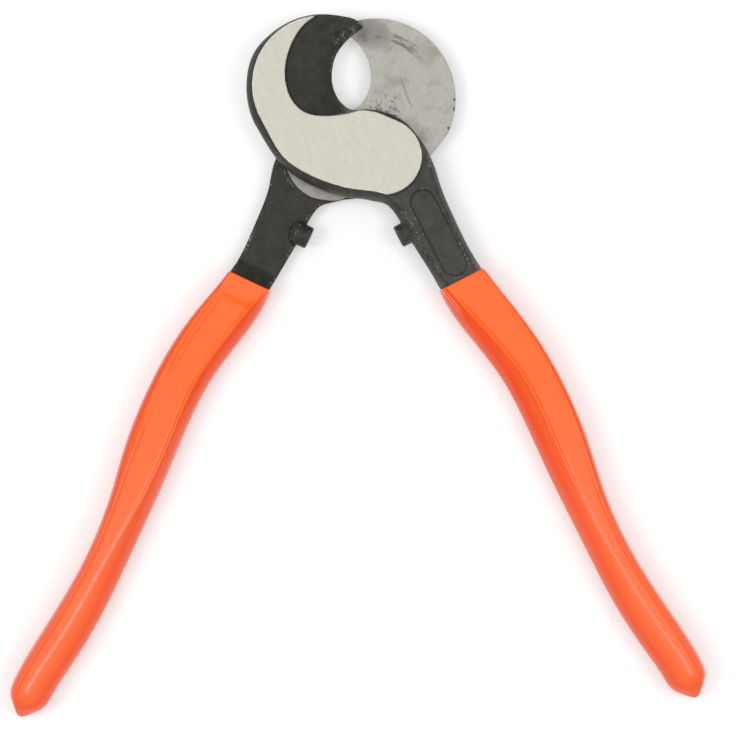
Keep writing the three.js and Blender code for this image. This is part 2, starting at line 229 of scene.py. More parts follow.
def scoop_rim(drop):
    """The rim of the cutting bevel, from the throat round to beyond the tip."""
    return curve(
        [
            (6.8, 9.5), (4.2, 10), (1.1, 11), (-3.3, 12.9), (-7.2, 15.5), (-9.7, 19.2), (-10.3, 25),
            (-8, 31.7 - drop / 2),
            (-3.2, 37.5 - drop), (3, 41.5 - drop), (8.5, 42.6 - drop), (13.5, 43 - drop),
            (19.5, 40.5 - drop), (23.5, 34.5),
        ]
    )  # fmt: skip


bar_left = along(
    (5, -5), (12, -6), (15.5, -4), (18, -1.6), (20, 0.8), (22.5, 2.2), (26, 2.8), (36, 3.3),
    (46, 4.2), (52.5, 4.7), (62, 6.3), (72, 8.3), (87, 11), (97, 11.4), (118, 10.6), (145, 10.2),
    (170, 10.5), (185, 12.1), (197, 14),
)  # fmt: skip
bar_right = along(
    (5, 19.7), (8, 20.5), (12, 20.9), (16, 20.8), (21, 20), (27, 19.2), (35, 18.8), (42, 18.6),
    (48, 18.8), (52.5, 19.3), (62, 20.2), (75, 22.6), (92, 24), (100, 24), (116, 22.8), (132, 20.3),
    (145, 19.3), (160, 19.6), (178, 21.5), (190, 22.6), (197, 21.6),
)  # fmt: skip
grip_left = along(
    (52.5, 3.9), (60, 4.2), (72, 6.3), (87, 9), (97, 9.4), (118, 8.6), (145, 8.2), (170, 8.5),
    (185, 10.2), (194, 11.4), (207, 11.4),
)  # fmt: skip
grip_right = along(
    (52.5, 19.9), (60, 21.4), (75, 24.4), (92, 26), (100, 26), (116, 24.8), (132, 22.3),
    (145, 21.2), (160, 21.5), (178, 23.4), (187, 24.5), (194, 25), (207, 25),
)  # fmt: skip

# Widths of the rounds beside the grip's panels, (left, right): on its outer side and its inner side.
OUTER_ROUNDS = (
    along((52, 2.4), (60, 4.1), (70, 5.2), (92, 6.2), (116, 6.1), (146, 6.3), (162, 7.2), (178, 7.8)),
    along((52, 0.9), (70, 1.5), (92, 1.8), (116, 2.3), (146, 2.1), (178, 2.1), (207, 2.4)),
)
INNER_ROUNDS = (
    along((52, 1.2), (60, 3.4), (70, 4), (88, 3.8), (104, 3.3), (130, 4.2), (150, 6), (178, 7.2)),
    along((52, 0.9), (64, 2.5), (72, 3), (92, 3.9), (116, 3.5), (130, 2.7), (146, 2.3), (178, 2.6)),
)


def slimming(s, spec):
    """How much narrower the shank is on its right than the outline above."""
    return spec["slim"] * smoothstep(s, *SLIM_IN) * (1 - smoothstep(s, *SLIM_OUT))


# Heights of the bar's and the grip's two sides over the shear plane.
def bar_low(s):
    return mix(SHANK_IN_Z, -TANG_HALF, smoothstep(s, *IN_JOGGLE))


def bar_high(s):
    return mix(SHANK_OUT_Z, TANG_HALF, smoothstep(s, *OUT_JOGGLE))


def grip_low(s):
    return mix(bar_low(MOUTH) - MOUTH_WALL[0], -GRIP_HALF, smoothstep(s, *GRIP_RISE))


def grip_high(s):
    return mix(SHANK_OUT_Z + MOUTH_WALL[1], GRIP_HALF, smoothstep(s, *OUT_JOGGLE))


# ---- distance fields ----
def join(a, b, r):
    """The union of two fields with a fillet of about r."""
    h = np.clip(0.5 + 0.5 * (b - a) / r, 0, 1)
    return mix(b, a, h) - r * h * (1 - h)


def common(a, b, r):
    """What two fields share, with its edge rounded by about r."""
    return -join(-a, -b, r)


def line_distance(x, y, line):
    """The distance from each point to a line of points."""
    nearest = np.full(np.shape(x), 1e9)
    for (ax, ay), (bx, by) in zip(line, line[1:]):
        dx, dy = bx - ax, by - ay
        square = dx * dx + dy * dy
        if square < 1e-12:
            continue
        t = np.clip(((x - ax) * dx + (y - ay) * dy) / square, 0, 1)
        nearest = np.minimum(nearest, (x - ax - t * dx) ** 2 + (y - ay - t * dy) ** 2)
    return np.sqrt(nearest)


def signed_distance(x, y, loop):
    """The distance to a closed outline, negative inside it."""
    loop = np.vstack([loop, loop[:1]])
    inside = np.zeros(np.shape(x), bool)
    for (ax, ay), (bx, by) in zip(loop, loop[1:]):
        if ay == by:
            continue
        crosses = (ay > y) != (by > y)
        inside ^= crosses & (x < ax + (y - ay) * (bx - ax) / (by - ay))
    return line_distance(x, y, loop) * np.where(inside, -1, 1)


class PlaneMap:
    """A function of x and y, held on a grid over the head of a lever and read back smoothly."""

    X, Y, STEP = (-32.0, 27.0), (-27.0, 52.0), 0.25

    def __init__(self, function):
        self.xs = np.arange(self.X[0], self.X[1], self.STEP)
        self.ys = np.arange(self.Y[0], self.Y[1], self.STEP)
        x, y = np.meshgrid(self.xs, self.ys, indexing="ij")
        self.values = function(x, y)

    def __call__(self, x, y):
        u = np.clip((x - self.X[0]) / self.STEP, 0, len(self.xs) - 1.001)
        v = np.clip((y - self.Y[0]) / self.STEP, 0, len(self.ys) - 1.001)
        i, j = u.astype(int), v.astype(int)
        u, v = u - i, v - j
        low = mix(self.values[i, j], self.values[i + 1, j], u)
        high = mix(self.values[i, j + 1], self.values[i + 1, j + 1], u)
        return mix(low, high, v)


class Lever:
    """The distance field of one forging, in its closed frame."""

    def __init__(self, spec):
        self.spec = spec
        face, foot = head_outlines(spec)
        rim = scoop_rim(spec["drop"])
        scoop = np.vstack([rim, (27, 34), (27, 26), (14, 24), (11, 18), (11, 14), (8.8, 11.4)])
        self.face = PlaneMap(lambda x, y: signed_distance(x, y, face))
        self.foot = PlaneMap(lambda x, y: signed_distance(x, y, foot))
        self.scoop = PlaneMap(lambda x, y: signed_distance(x, y, scoop))
        self.rim = PlaneMap(lambda x, y: line_distance(x, y, rim))
        self.edge = PlaneMap(lambda x, y: line_distance(x, y, CUTTING_EDGE))

    def head(self, x, y, z):
        """The blade and hub, with metal to spare on both ground sides."""
        share = np.clip((z - WALL_Z) / (FACE_Z - WALL_Z), 0, 1.2) ** 2
        wall = mix(self.foot(x, y), self.face(x, y), share)
        from_pad = np.hypot(x - PAD_CENTRE[0], y - PAD_CENTRE[1])
        sunk = smoothstep(from_pad, PAD_RADIUS, PAD_RADIUS + PAD_STEP) * (1 - smoothstep(y, *HUB_TOP))
        low = mix(SHEAR_Z - SPARE, SHANK_IN_Z, sunk)
        return np.maximum(wall, np.maximum(low - z, z - FACE_Z - SPARE))

    def bevel(self, x, y, z):
        """What the cutting bevel takes away."""
        edge, rim = self.edge(x, y), self.rim(x, y)
        rim_z = mix(BEVEL_RIM_Z, BEVEL_TIP_Z, smoothstep(x, *BEVEL_TIP_X) * (y > BEVEL_TIP_Y))
        floor = mix(BEVEL_EDGE_Z, rim_z, (edge / (edge + rim + 1e-6)) ** BEVEL_POWER)
        return common(self.scoop(x, y) + BEVEL_FLARE * (FACE_Z - z), floor - z, BEVEL_ROUND)

    def bar(self, x, y, z):
        """The shank and tang."""
        past = np.maximum(0, -y - MOUTH) / (1 + self.spec["reach"])
        s = np.minimum(-y, MOUTH) + past
        x = x - self.spec["splay"] * smoothstep(s, MOUTH, MOUTH + SPLAY_RUN)
        low, high = bar_low(s), bar_high(s)
        upright = mix(low, high, SHANK_UPRIGHT)
        lean = np.clip((z - upright) / (high - upright), 0, 1.2) ** 1.5
        left = bar_left(s) + SHANK_LEAN[0] * lean - x
        right = x - bar_right(s) + slimming(s, self.spec) + SHANK_LEAN[1] * lean
        flat = common(low - z, z - high, SHANK_FACE_ROUND)
        body = common(common(left, right, SHANK_ROUND), flat, SHANK_ROUND)
        return np.maximum(body, np.maximum(s - TANG_END, SHANK_START - s))

    def panel(self, x, y, z):
        """The oval recess."""
        from_axis = np.hypot(x - PANEL_X, y - np.clip(y, PANEL_FOOT, PANEL_TOP))
        floor = SHANK_OUT_Z - PANEL_DEPTH
        wall = from_axis - PANEL_RADIUS - PANEL_FLARE * (z - floor)
        return common(wall, floor - z, PANEL_ROUND)

    def lug(self, x, y, z):
        """The stop: a stub lying along x."""
        past = np.maximum(x - LUG_END, 0) * LUG_RADIUS / LUG_NOSE
        round_part = np.sqrt((y - LUG_Y) ** 2 + z**2 + past**2) - LUG_RADIUS
        return common(round_part, LUG_FACE - x, LUG_ROUND)

    def rivet_hole(self, x, y, z):
        flare = np.maximum(z - (FACE_Z - (RIVET_HEAD - RIVET_RADIUS)), 0)
        return np.hypot(x, y) - RIVET_RADIUS - RIVET_FIT - flare

    def __call__(self, x, y, z):
        pad = np.hypot(x - PAD_CENTRE[0], y - PAD_CENTRE[1]) - PAD_RADIUS
        pad = np.maximum(pad, np.maximum(z - PAD_THICK, SHEAR_Z - SPARE - z))
        head = common(self.head(x, y, z), -self.bevel(x, y, z), CUT_ROUND)
        bar = common(self.bar(x, y, z), -self.panel(x, y, z), CUT_ROUND)
        whole = join(head, join(bar, pad, PAD_FILLET), HEAD_FILLET)
        whole = join(whole, self.lug(x, y, z), LUG_FILLET)
        return np.maximum(whole, -self.rivet_hole(x, y, z))


def surface(field, low, high, step):
    """Points and four-sided faces of the surface where a field is zero, by surface nets."""
    low = np.array(low, float)
    counts = np.ceil((np.array(high) - low) / step).astype(int) + 1
    axes = [low[a] + step * np.arange(counts[a]) for a in range(3)]
    x, y, z = axes[0][:, None, None], axes[1][None, :, None], axes[2][None, None, :]
    value = field(x, y, z)
    solid = value < 0
    corners = np.zeros(tuple(counts - 1), np.int8)
    for corner in np.ndindex(2, 2, 2):
        corners += solid[tuple(slice(c, counts[a] - 1 + c) for a, c in enumerate(corner))]
    cells = np.argwhere((corners > 0) & (corners < 8))
    number = np.full(tuple(counts - 1), -1)
    number[tuple(cells.T)] = np.arange(len(cells))
    total, crossings = np.zeros((len(cells), 3)), np.zeros(len(cells))
    for axis in range(3):
        for pair in np.ndindex(2, 2):
            start = np.insert(np.array(pair), axis, 0)
            ahead = np.eye(3, dtype=int)[axis]
            a = value[tuple((cells + start).T)]
            b = value[tuple((cells + start + ahead).T)]
            hit = (a < 0) != (b < 0)
            t = np.where(hit, a / np.where(hit, a - b, 1), 0)
            total += hit[:, None] * (start + t[:, None] * ahead)
            crossings += hit
    points = low + step * (cells + total / crossings[:, None])
    faces = []
    for axis in range(3):
        other = [a for a in range(3) if a != axis]
        inner = [slice(1, -1)] * 3
        near, far = list(inner), list(inner)
        near[axis], far[axis] = slice(0, -1), slice(1, None)
        a, b = solid[tuple(near)], solid[tuple(far)]
        at = np.argwhere(a != b)
        turned = a[tuple(at.T)]
        at[:, other] += 1
        around = []
        for u, v in ((-1, -1), (0, -1), (0, 0), (-1, 0)):
            cell = at.copy()
            cell[:, other[0]] += u
            cell[:, other[1]] += v
            around.append(number[tuple(cell.T)])
        quads = np.column_stack(around)
        flip = turned if axis == 1 else ~turned
        quads[flip] = quads[flip][:, ::-1]
        faces.append(quads)
    return points, np.vstack(faces)


def gradient(field, points, reach=0.12):
    """The slope of a field at points."""
    slope = []
    for axis in np.eye(3) * reach:
        ahead, behind = field(*(points + axis).T), field(*(points - axis).T)
        slope.append((ahead - behind) / (2 * reach))
    return np.column_stack(slope)


def settle(field, points, rounds=2):
    """Moves points onto the surface of a field."""
    for _ in range(rounds):
        slope = gradient(field, points)
        step = field(*points.T)[:, None] * slope / np.maximum((slope**2).sum(1), 0.2)[:, None]
        points = points - np.clip(step, -VOXEL / 2, VOXEL / 2)
    return points


def convexity(field, points, reach=0.8):
    """How sharply the surface bulges (above 0) or dips (below 0) at each point."""
    total = -6 * field(*points.T)
    for axis in np.eye(3) * reach:
        total = total + field(*(points + axis).T) + field(*(points - axis).T)
    return total / reach


# ---- meshes ----
FORGING_SHARP, GRIP_SHARP, RIVET_SHARP = 38, 50, 30  # degrees from which an edge looks sharp
GROUND_SLOT, RIM_SLOT = 1, 2  # numbers of a forging's materials, after its skin's


def grind(bm, field, height, rim, side, foot):
    """Cuts the forging flat at a height, down to its foot, and leaves a chamfered rim."""
    cut = height - side * rim
    near = [f for f in bm.faces if f.calc_center_median().y > foot]
    # Keys of a dict hold each edge and point once, in the same order every time, as a set doesn't.
    geometry = [*dict.fromkeys(part for f in near for part in (*f.edges, *f.verts)), *near]
    sliced = bmesh.ops.bisect_plane(
        bm, geom=geometry, dist=1e-4, plane_co=(0, 0, cut), plane_no=(0, 0, side), clear_outer=True
    )
    edges = [e for e in sliced["geom_cut"] if isinstance(e, bmesh.types.BMEdge) and e.is_boundary]
    raised = bmesh.ops.extrude_edge_only(bm, edges=edges)["geom"]
    verts = [v for v in raised if isinstance(v, bmesh.types.BMVert)]
    places = np.array([v.co for v in verts])
    slope = gradient(field, places)[:, :2]
    slope /= np.maximum(np.linalg.norm(slope, axis=1), 1e-6)[:, None]
    hole = RIVET_FIT + (RIVET_HEAD if side > 0 else RIVET_RADIUS)
    for v, n in zip(verts, slope):
        from_axis = math.hypot(v.co.x, v.co.y)
        if from_axis < RIVET_HEAD + 1:
            v.co.xy = v.co.xy * (hole / from_axis)
        else:
            v.co.x -= n[0] * rim
            v.co.y -= n[1] * rim
        v.co.z = height
    loops = [e for e in raised if isinstance(e, bmesh.types.BMEdge)]
    walls = [f for f in raised if isinstance(f, bmesh.types.BMFace)]
    filled = bmesh.ops.triangle_fill(bm, use_beauty=True, edges=loops, normal=(0, 0, side))
    flat = [f for f in filled["geom"] if isinstance(f, bmesh.types.BMFace)]
    for f in flat:
        f.material_index = GROUND_SLOT
    for f in walls:
        f.material_index = RIM_SLOT if side > 0 else GROUND_SLOT


def put_in_order(bm):
    """Orders edges and faces by their points, because Blender's extrusion leaves them in any order."""
    bm.verts.index_update()
    count = len(bm.verts)

    def place(element):
        lowest = sorted(v.index for v in element.verts)[:3]
        return reduce(lambda key, index: key * count + index, lowest)

    bm.edges.sort(key=place)
    bm.faces.sort(key=place)


def to_rest(points, rear):
    """Points from the closed frame to the row's frame, in metres."""
    x, y, z = np.array(points, float).T
    if rear:
        x, z = -x, -z
    turn = -SWING if rear else SWING
    c, s = math.cos(turn), math.sin(turn)
    return np.column_stack([c * x - s * y, s * x + c * y, z + LIFT]) * MM


def finish_mesh(name, mesh, materials, rear, sharp):
    """Puts a mesh made in the closed frame in its place, and keeps its first coordinates."""
    points = np.zeros(len(mesh.vertices) * 3)
    mesh.vertices.foreach_get("co", points)
    points = points.reshape(-1, 3)
    shape = mesh.attributes.new("shape", "FLOAT_VECTOR", "POINT")
    shape.data.foreach_set("vector", points.astype(np.float32).ravel())
    mesh.vertices.foreach_set("co", to_rest(points, rear).astype(np.float32).ravel())
    for material in materials:
        mesh.materials.append(material)
    mesh.polygons.foreach_set("use_smooth", [True] * len(mesh.polygons))
    mesh.set_sharp_from_angle(angle=math.radians(sharp))
    mesh.update()
    piece = bpy.data.objects.new(name, mesh)
    bpy.context.scene.collection.objects.link(piece)
    return piece


def make_lever(name, spec, rear, materials):
    """A forging. Its materials are those of its forged skin, its ground faces and their rims."""
    field = Lever(spec)
    points, faces = surface(field, *FORGING_BOX, VOXEL)
    points = settle(field, points)
    mesh = bpy.data.meshes.new(name)
    mesh.from_pydata(points.tolist(), [], faces.tolist())
    bm = bmesh.new()
    bm.from_mesh(mesh)
    grind(bm, field, FACE_Z, FACE_RIM, 1, FACE_FOOT)
    grind(bm, field, SHEAR_Z, SHEAR_RIM, -1, SHEAR_FOOT)
    bmesh.ops.recalc_face_normals(bm, faces=bm.faces)
    put_in_order(bm)
    bm.to_mesh(mesh)
    bm.free()
    points = np.array([v.co for v in mesh.vertices])
    bulge = mesh.attributes.new("bulge", "FLOAT", "POINT")
    bulge.data.foreach_set("value", convexity(field, points).astype(np.float32))
    return finish_mesh(name, mesh, materials, rear, FORGING_SHARP)


def ring_mesh(name, rings, materials, rear, sharp):
    """A closed skin through rings, with its first and last ring closed to a point."""
    count = len(rings[0])
    points = [rings[0].mean(0), *(p for r in rings for p in r), rings[-1].mean(0)]
    last = len(points) - 1
    faces = []
    for i in range(count):
        j = (i + 1) % count
        faces.append((0, 1 + j, 1 + i))
        for r in range(len(rings) - 1):
            a, b = 1 + r * count, 1 + (r + 1) * count
            faces.append((a + i, a + j, b + j, b + i))
        tail = 1 + (len(rings) - 1) * count
        faces.append((last, tail + i, tail + j))
    mesh = bpy.data.meshes.new(name)
    mesh.from_pydata([tuple(p) for p in points], [], faces)
    bm = bmesh.new()
    bm.from_mesh(mesh)
    bmesh.ops.recalc_face_normals(bm, faces=bm.faces)
    bm.to_mesh(mesh)
    bm.free()
    return finish_mesh(name, mesh, materials, rear, sharp)


# ---- grips ----
FLANK_POINTS = 22
PANEL_POINTS = 22
TIP_RINGS, BODY_RINGS, LIP_RINGS, BORE_RINGS = 60, 120, 6, 70
FIRST_RING, RING_CROWDING = 0.012, 1.6  # how near the end the tip's rings start, and how they crowd there
BORE_START = 0.05  # below the mouth
# Power of a section's left and right round, at the start and end of a run down the grip: 1 is an
# ellipse, less is squarer.
ROUND_POWERS = (((1.3, 1.05), (130, 185)), ((0.75, 1.0), (100, 190)))
BORE_CORNER, BORE_POWER = 1.2, 0.6  # of the rounded corners of the sleeve's inside
RIDGE_HEIGHT, RIDGE_WIDTH = 0.38, 0.75  # of the crease beside each panel
PANEL_DISH, DISH_POWER = 0.20, 0.7
RELIEF_RUN = 8  # from the mouth to where the relief is in full
GROOVE_DEPTH, GROOVE_AT = 0.5, 58.6  # across the inner side, behind the mouth
GROOVE_WIDTHS = (1.3, 1.2)  # across, and down the side
GROOVE_INSET = 0.6  # from the crease
GROOVE_FADE = (84, 108)
CREASE_CHANGE = (105, 150)  # where the left crease all but ends and the right one comes up in full
INNER_CREASE_RISE = (85, 115)  # where the right one rises on the inner side
DRIFT_IN, DRIFT_OUT = (60, 72), (88, 98)  # where the drifting crease rises and fades


def side_profile(left, right, rounds, powers, creases, ridges, share):
    """Half a section, from right to left: x, height as a share of half the thickness, and how many
    millimetres lower its dished panel lies than the crests of the creases beside it."""
    quarter = np.linspace(0, math.pi / 2, FLANK_POINTS)
    inner, outer = left + rounds[0], right - rounds[1]
    x_right = right - rounds[1] * (1 - np.cos(quarter).clip(0) ** powers[1])
    x_left = left + rounds[0] * (1 - np.cos(quarter).clip(0) ** powers[0])
    x_panel = np.linspace(outer, inner, PANEL_POINTS + 2)[1:-1]
    x = np.concatenate([x_right, x_panel, x_left[::-1]])
    rise = [np.sin(quarter) ** powers[1], np.ones(PANEL_POINTS), np.sin(quarter)[::-1] ** powers[0]]
    across = np.clip((x - inner) / max(outer - inner, 0.1), 0, 1)
    rise = np.concatenate(rise)
    crest = np.zeros(len(x))
    for centre, height in ((inner, creases[0]), (outer, creases[1]), *ridges):
        crest = np.maximum(crest, height * bell(x, centre, RIDGE_WIDTH))
    drop = RIDGE_HEIGHT * (1 - crest) + PANEL_DISH * (4 * across * (1 - across)) ** DISH_POWER
    return x, rise, drop * share * rise


def tip_share(s):
    """Share of the grip's full width and thickness left near its end, a blunt point."""
    left = np.maximum(0, GRIP_END - s)
    width = np.sqrt(left * left + TIP_ROUND * left)
    return width / (width**TIP_POWER + TIP_LENGTH**TIP_POWER) ** (1 / TIP_POWER)


def groove(s, x, side):
    """Depth of the groove that crosses the inner side behind the mouth and turns down one side."""
    across = bell(s, GROOVE_AT, GROOVE_WIDTHS[0])
    down = smoothstep(s, GROOVE_AT - 1, GROOVE_AT + 1) * (1 - smoothstep(s, *GROOVE_FADE))
    return GROOVE_DEPTH * np.maximum(across, down * bell(x, side, GROOVE_WIDTHS[1]))


drifting_crease = along(
    (52, 6.2), (60, 8.2), (70, 10.9), (80, 13.1), (88, 15), (96, 16.6), (110, 17)
)  # fmt: skip


def grip_ring(s, spec, inset=0.0):
    """The section of a grip at a distance below the pivot, counted from its right edge over the top."""
    share = tip_share(s) if s > TIP_START else 1.0
    left, right = grip_left(s) + inset, grip_right(s) - slimming(s, spec) - inset
    low, high = grip_low(s) + inset, grip_high(s) - inset
    middle, centre, half = (left + right) / 2, (low + high) / 2, (high - low) / 2
    relief_share = smoothstep(s, spec["mouth"], spec["mouth"] + RELIEF_RUN) * share**2
    powers = [mix(*ends, smoothstep(s, *run)) for ends, run in ROUND_POWERS]
    drifting = smoothstep(s, *DRIFT_IN) * (1 - smoothstep(s, *DRIFT_OUT))
    ridges = ((drifting_crease(s), 0.5 * drifting),)
    low_down = smoothstep(s, *CREASE_CHANGE)
    right_creases = {1: 0.5 + 0.5 * low_down, -1: smoothstep(s, *INNER_CREASE_RISE)}
    sides = []
    for rounds, up in ((OUTER_ROUNDS, 1), (INNER_ROUNDS, -1)):
        widths = [w(s) for w in rounds]
        creases = (1 - 0.85 * low_down, right_creases[up])
        x, rise, drop = side_profile(left, right, widths, powers, creases, ridges, relief_share)
        if up < 0:
            drop = drop + groove(s, x, right - widths[1] - GROOVE_INSET) * rise
        z = centre + up * (share * half * rise - drop)
        sides.append(np.column_stack([mix(middle, x, share), z]))
    return np.vstack([sides[0], sides[1][-2:0:-1]])


def place_ring(s, ring, spec):
    """A section as points, with the handle's splay and reach."""
    past = max(0, s - MOUTH)
    shift = spec["splay"] * smoothstep(s, MOUTH, MOUTH + SPLAY_RUN)
    y = np.full(len(ring), -(s + past * spec["reach"]))
    return np.column_stack([ring[:, 0] + shift, y, ring[:, 1]])


def bore_ring(s, spec):
    """The inside of the sleeve, just clear of the tang."""
    left, right = bar_left(s) - GAP, bar_right(s) - slimming(s, spec) + GAP
    low, high = bar_low(s) - GAP, bar_high(s) + GAP
    quarter = np.linspace(0, math.pi / 2, FLANK_POINTS)
    flank = BORE_CORNER * (1 - np.cos(quarter).clip(0) ** BORE_POWER)
    panel = np.linspace(right - BORE_CORNER, left + BORE_CORNER, PANEL_POINTS + 2)[1:-1]
    x = np.concatenate([right - flank, panel, (left + flank)[::-1]])
    corner = np.sin(quarter) ** BORE_POWER
    rise = np.concatenate([corner, np.ones(PANEL_POINTS), corner[::-1]])
    centre, half = (low + high) / 2, (high - low) / 2
    upper = np.column_stack([x, centre + half * rise])
    lower = np.column_stack([x, centre - half * rise])[-2:0:-1]
    return np.vstack([upper, lower])


def make_grip(name, spec, rear, material):
    """A sleeve, lofted from its tip up to its mouth and back down its bore."""
    mouth, lip = spec["mouth"], MOUTH_LIP
    rings = []
    for t in np.linspace(FIRST_RING, 1, TIP_RINGS):
        s = mix(GRIP_END, TIP_START, t**RING_CROWDING)
        rings.append(place_ring(s, grip_ring(s, spec), spec))
    for s in np.linspace(TIP_START, mouth + lip, BODY_RINGS)[1:]:
        rings.append(place_ring(s, grip_ring(s, spec), spec))
    for turn in np.linspace(0, math.pi / 2, LIP_RINGS)[1:]:
        s = mouth + lip * (1 - math.sin(turn))
        rings.append(place_ring(s, grip_ring(s, spec, lip * (1 - math.cos(turn))), spec))
    for s in np.linspace(mouth + BORE_START, TANG_END, BORE_RINGS):
        rings.append(place_ring(s, bore_ring(s, spec), spec))
    rings.append(rings[-1] - (0, 1, 0))  # the bore ends a millimetre past the tang
    return ring_mesh(name, rings, [material], rear, GRIP_SHARP)


def make_rivet(name, material):
    """A straight pin with a countersunk head at each end."""
    cone = RIVET_HEAD - RIVET_RADIUS
    profile = [(0.01, -FACE_Z), (RIVET_HEAD, -FACE_Z), (RIVET_RADIUS, -FACE_Z + cone)]
    profile += [(RIVET_RADIUS, FACE_Z - cone), (RIVET_HEAD, FACE_Z), (0.01, FACE_Z)]
    angle = np.linspace(0, 2 * math.pi, RIVET_POINTS, endpoint=False)
    x, y, flat = np.cos(angle), np.sin(angle), np.ones(RIVET_POINTS)
    rings = [np.column_stack([r * x, r * y, z * flat]) for r, z in profile]
    return ring_mesh(name, rings, [material], False, RIVET_SHARP)


# ---- materials ----
STEEL_WARM = (0.468, 0.458, 0.398)
STEEL_COOL = (0.350, 0.342, 0.305)
STAIN = (0.085, 0.080, 0.070)
# Near-white colours of the ground chamfers: a painted highlight, duller where worn.
RIM_HIGHLIGHT, RIM_WORN_HIGHLIGHT = (0.84, 0.83, 0.77), (0.56, 0.55, 0.50)
OXIDE_DARK, OXIDE_PALE = (0.021, 0.0202, 0.0176), (0.044, 0.0415, 0.0355)
OXIDE_DUST = (0.11, 0.108, 0.10)
OXIDE_WORN = (0.42, 0.41, 0.38)
OXIDE_SHEEN = (1, 0.97, 0.90, 1)
VINYL_PANEL, VINYL_PANEL_DEEP = (1.0, 0.140, 0.010), (0.98, 0.128, 0.008)
# The side colour is painted shade, for faces that turn away from straight up or down.
VINYL_SIDE_SHADE = (0.90, 0.078, 0.010)
# A paler colour, painted as sheen towards the handle ends.
VINYL_PAINTED_SHEEN = (0.96, 0.155, 0.065)
VINYL_DUST = (0.45, 0.05, 0.01)
PAPER_DARK, PAPER_PALE = (0.70,) * 3, (0.72,) * 3
PAPER_GLOW, PAPER_GLOW_REFLECTED = 0.30, 0.8

GRIND_TURN = -4  # degrees from the grinding marks to the lever's own y
MID_NOISE = (0.3, 0.7)  # nearly all of a noise lies between these
# Places of marks on a lever, each with half its width and height.
RUBBED = ((1.5, 36.5), (14, 7))
THROAT_PITS = ((-4, 15.5), (6.5, 8.5))
SCRATCHED = ((-8, 24), (8, 10))
TIP_FILM = ((11.5, 36), (9, 6))
EDGE_NICKS = (((-25.0, 19.2), (0.9, 0.6)), ((-24.0, 25.6), (0.7, 1.1)), ((-22.8, 28.2), (0.9, 0.5)))
HOOK_CHIPS = ((14.5, 32.9), (5.5, 4))
HOOK_DENTS = ((14, 33.5), (5.5, 4.2))
RUB_RADIUS = 19.9  # of the arc that the other hook rubs, round the centre of the blade's back


